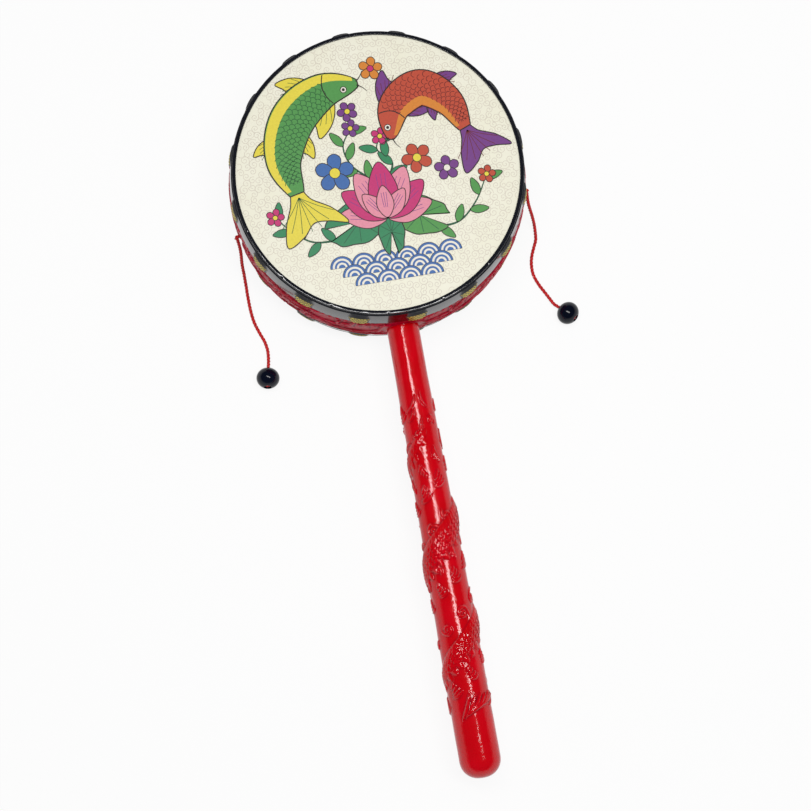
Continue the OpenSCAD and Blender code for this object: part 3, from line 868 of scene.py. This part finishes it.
def lotus(art, at, size):
    petal = [(0, 0), (-3.4, 4.4), (-3.1, 9.2), (0, 14), (3.1, 9.2), (3.4, 4.4)]
    for angle, colour, long in ((78, PINK, 0.86), (-78, PINK, 0.86),
                                (52, MAGENTA, 0.95), (-52, MAGENTA, 0.95),
                                (27, PINK, 1.0), (-27, PINK, 1.0), (0, MAGENTA, 1.05),
                                (38, PINK, 0.62), (-38, PINK, 0.62), (0, PINK, 0.6)):
        outline = place(curve(petal, closed=True), at, angle, size * long)
        art.shape(outline, colour, 0.36)
        for k in (-1, 0, 1):
            art.line(place(lick(k * 0.7, 4.5, 90 - 6 * k, 6.5, 5 * k), at, angle, size * long), 0.2, PURPLE)
        art.up()


def pad(art, at, wide, high, angle, colour):
    t = np.radians(np.linspace(20, 340, 60))
    rim = np.stack([np.cos(t) * wide * (1 + 0.04 * np.sin(9 * t)),
                    np.sin(t) * high * (1 + 0.04 * np.cos(8 * t))], -1)
    art.shape(place(np.vstack([[(0, 0)], rim]), at, angle), colour)
    for k in range(9):
        a = math.radians(45 + 34 * k)
        ray = np.linspace(0.05, 0.9, 12)[:, None] * [math.cos(a) * wide, math.sin(a) * high]
        art.line(place(ray, at, angle), 0.26, STEM)
    art.up()


def sprig(art, points, colour, bud):
    """A stem with paired leaves and a bud at its end."""
    line = curve(points)
    art.line(line, np.linspace(0.9, 0.4, len(line)), STEM)
    art.up()
    d = np.gradient(line, axis=0)
    for k, i in enumerate(np.linspace(2, len(line) - 4, 5).astype(int)):
        angle = math.degrees(math.atan2(d[i][1], d[i][0])) + (48 if k % 2 else -48)
        outline = curve([(0, 0), (2, 1.5), (5, 1.4), (7.5, 0), (5, -1.4), (2, -1.5)], closed=True)
        art.shape(place(outline, line[i], angle), colour, 0.3)
    blossom(art, line[-1], 0.8, bud, YELLOW)


def waves(art):
    """Rows of scalloped water along the bottom of the round."""
    for row, wide in enumerate((2.5, 2, 1.5)):
        for k in np.arange(-wide, wide + 0.5):
            x, y = 8.6 * k + 1, -36 - 4.0 * row
            for ring_r, colour in ((4.6, BLUE), (3.7, WHITE), (2.9, BLUE), (2.1, WHITE), (1.3, BLUE)):
                t = np.radians(np.linspace(0, 180, 24))
                scallop = np.stack([x + ring_r * np.cos(t), y + ring_r * np.sin(t)], -1)
                art.shape(scallop, colour, 0.2 if ring_r > 4 else 0)


def draw_head():
    art = Print()
    scroll_ground(art)
    waves(art)
    sprig(art, [(-20, -25), (-30, -24), (-37, -19), (-43, -12)], LEAF, MAGENTA)
    sprig(art, [(19, -26), (28, -25), (36, -18), (42, -8)], GREEN, TERRACOTTA)
    sprig(art, [(-3, -3), (-10, 4), (-12, 12), (-8, 19)], GREEN, PURPLE)
    sprig(art, [(4, -3), (6, 3), (1, 9), (3, 14)], LEAF, MAGENTA)
    pad(art, (-11, -19), 14, 8.5, 195, LEAF)
    pad(art, (13, -20), 12.5, 7.6, -18, GREEN)
    pad(art, (1, -25), 9.5, 5.0, 268, LEAF)
    lotus(art, (0.5, -19), 1.55)
    carp(art, [(-2, 37), (-17, 35.5), (-30, 26), (-36, 10), (-33, -4)], 10.2,
         GREEN, YELLOW, YELLOW, srgb(32, 96, 48))
    carp(art, [(7, 12), (11, 25), (22, 31), (32, 24), (37, 12)], 8.6,
         TERRACOTTA, ORANGE, PURPLE, srgb(112, 30, 26))
    for at, size, petal, heart, spin in (((-17, 2), 1.7, BLUE, YELLOW, 12),
                                         ((16, 3), 1.35, TERRACOTTA, YELLOW, 40),
                                         ((4, 42), 1.05, ORANGE, MAGENTA, 5),
                                         ((27, -3), 1.1, PURPLE, WHITE, 20),
                                         ((-8, 26), 0.9, PURPLE, YELLOW, 40)):
        blossom(art, at, size, petal, heart, 5, spin)
    return art


# The back print is the front one turned over, so its faces keep their order
HEAD_IN, INK_LOW, INK_SPAN = 0.8, 0.02, 0.16
art = draw_head()
colours = np.concatenate([np.tile([*c, 1.0], (len(f), 1)) for c, f in zip(art.colours, art.faces)])
for name, front in (("front_print", True), ("back_print", False)):
    points = np.array(art.points, float)
    level = INK_LOW + points[:, 2] / art.level * INK_SPAN
    points[:, 2] = DEPTH - HEAD_IN + level if front else HEAD_IN - level
    if not front:
        points[:, 0] *= -1
    piece = mesh_piece(name, points, art.faces, INK, "drum", smooth=False)
    layer = piece.data.attributes.new("ink", "FLOAT_COLOR", "CORNER")
    layer.data.foreach_set("color", colours.astype(np.float32).ravel())

# Floor, light and background


FLOOR_HALF, FLOOR_Z, FLOOR_GLOW, FILL = 6, -0.0002, 0.9, 0.35


def looked_at(nodes, links):
    """1 for camera, glossy and transmission rays, and 0 for the others, which light the object."""
    path = add(nodes, "ShaderNodeLightPath")
    share = path.outputs["Is Camera Ray"]
    for kind in ("Is Glossy Ray", "Is Transmission Ray"):
        most = add(nodes, "ShaderNodeMath", operation="MAXIMUM")
        links.new(share, most.inputs[0])
        links.new(path.outputs[kind], most.inputs[1])
        share = most.outputs["Value"]
    return share


def floor_piece():
    mesh = bpy.data.meshes.new("floor")
    corners = ((-1, -1), (1, -1), (1, 1), (-1, 1))
    mesh.from_pydata([(x * FLOOR_HALF, y * FLOOR_HALF, FLOOR_Z) for x, y in corners], [], [(0, 1, 2, 3)])
    floor = bpy.data.objects.new("floor", mesh)
    scene.collection.objects.link(floor)
    material = bpy.data.materials.new("floor_white")
    material.use_nodes = True
    nodes, links = material.node_tree.nodes, material.node_tree.links
    nodes.clear()
    paint = add(nodes, "ShaderNodeBsdfDiffuse")
    paint.inputs["Color"].default_value = (0.93, 0.93, 0.93, 1)
    glow = add(nodes, "ShaderNodeEmission")
    glow.inputs["Color"].default_value = (1, 1, 1, 1)
    part = add(nodes, "ShaderNodeMath", operation="MULTIPLY")
    part.inputs[1].default_value = FLOOR_GLOW
    links.new(looked_at(nodes, links), part.inputs[0])
    mix = add(nodes, "ShaderNodeMixShader")
    links.new(part.outputs["Value"], mix.inputs["Fac"])
    links.new(paint.outputs["BSDF"], mix.inputs[1])
    links.new(glow.outputs["Emission"], mix.inputs[2])
    end = add(nodes, "ShaderNodeOutputMaterial")
    links.new(mix.outputs["Shader"], end.inputs["Surface"])
    mesh.materials.append(material)


def light(name, at, size, lies, power, mirrored=True):
    """A flat lamp facing straight down, its long side turned from the X axis."""
    data = bpy.data.lights.new(name, "AREA")
    data.shape, data.size, data.size_y, data.energy = "RECTANGLE", size[0], size[1], power
    lamp = bpy.data.objects.new(name, data)
    scene.collection.objects.link(lamp)
    lamp.location = at
    lamp.rotation_euler = (0, 0, math.radians(lies))
    lamp.visible_glossy = mirrored


floor_piece()
light("key", (0.03, 0.01, 0.78), (0.56, 0.10), -35, 3.35)
light("soft", (0.15, 0.17, 0.78), (0.50, 0.20), -35, 0.8, mirrored=False)

world = bpy.data.worlds.new("world")
scene.world = world
world.use_nodes = True
nodes, links = world.node_tree.nodes, world.node_tree.links
nodes.clear()
where = add(nodes, "ShaderNodeTexCoord")
split = add(nodes, "ShaderNodeSeparateXYZ")
links.new(where.outputs["Generated"], split.inputs["Vector"])
sky = ramp(nodes, links, split.outputs["Z"],
           [(0.0, (1, 1, 1)), (0.12, (0.9, 0.9, 0.92)), (0.4, (0.05, 0.05, 0.07))])
shown = add(nodes, "ShaderNodeBackground", Strength=1.0)
links.new(sky, shown.inputs["Color"])
fill = add(nodes, "ShaderNodeBackground", Strength=FILL)
mix = add(nodes, "ShaderNodeMixShader")
links.new(looked_at(nodes, links), mix.inputs["Fac"])
links.new(fill.outputs["Background"], mix.inputs[1])
links.new(shown.outputs["Background"], mix.inputs[2])
end = add(nodes, "ShaderNodeOutputWorld")
links.new(mix.outputs["Shader"], end.inputs["Surface"])
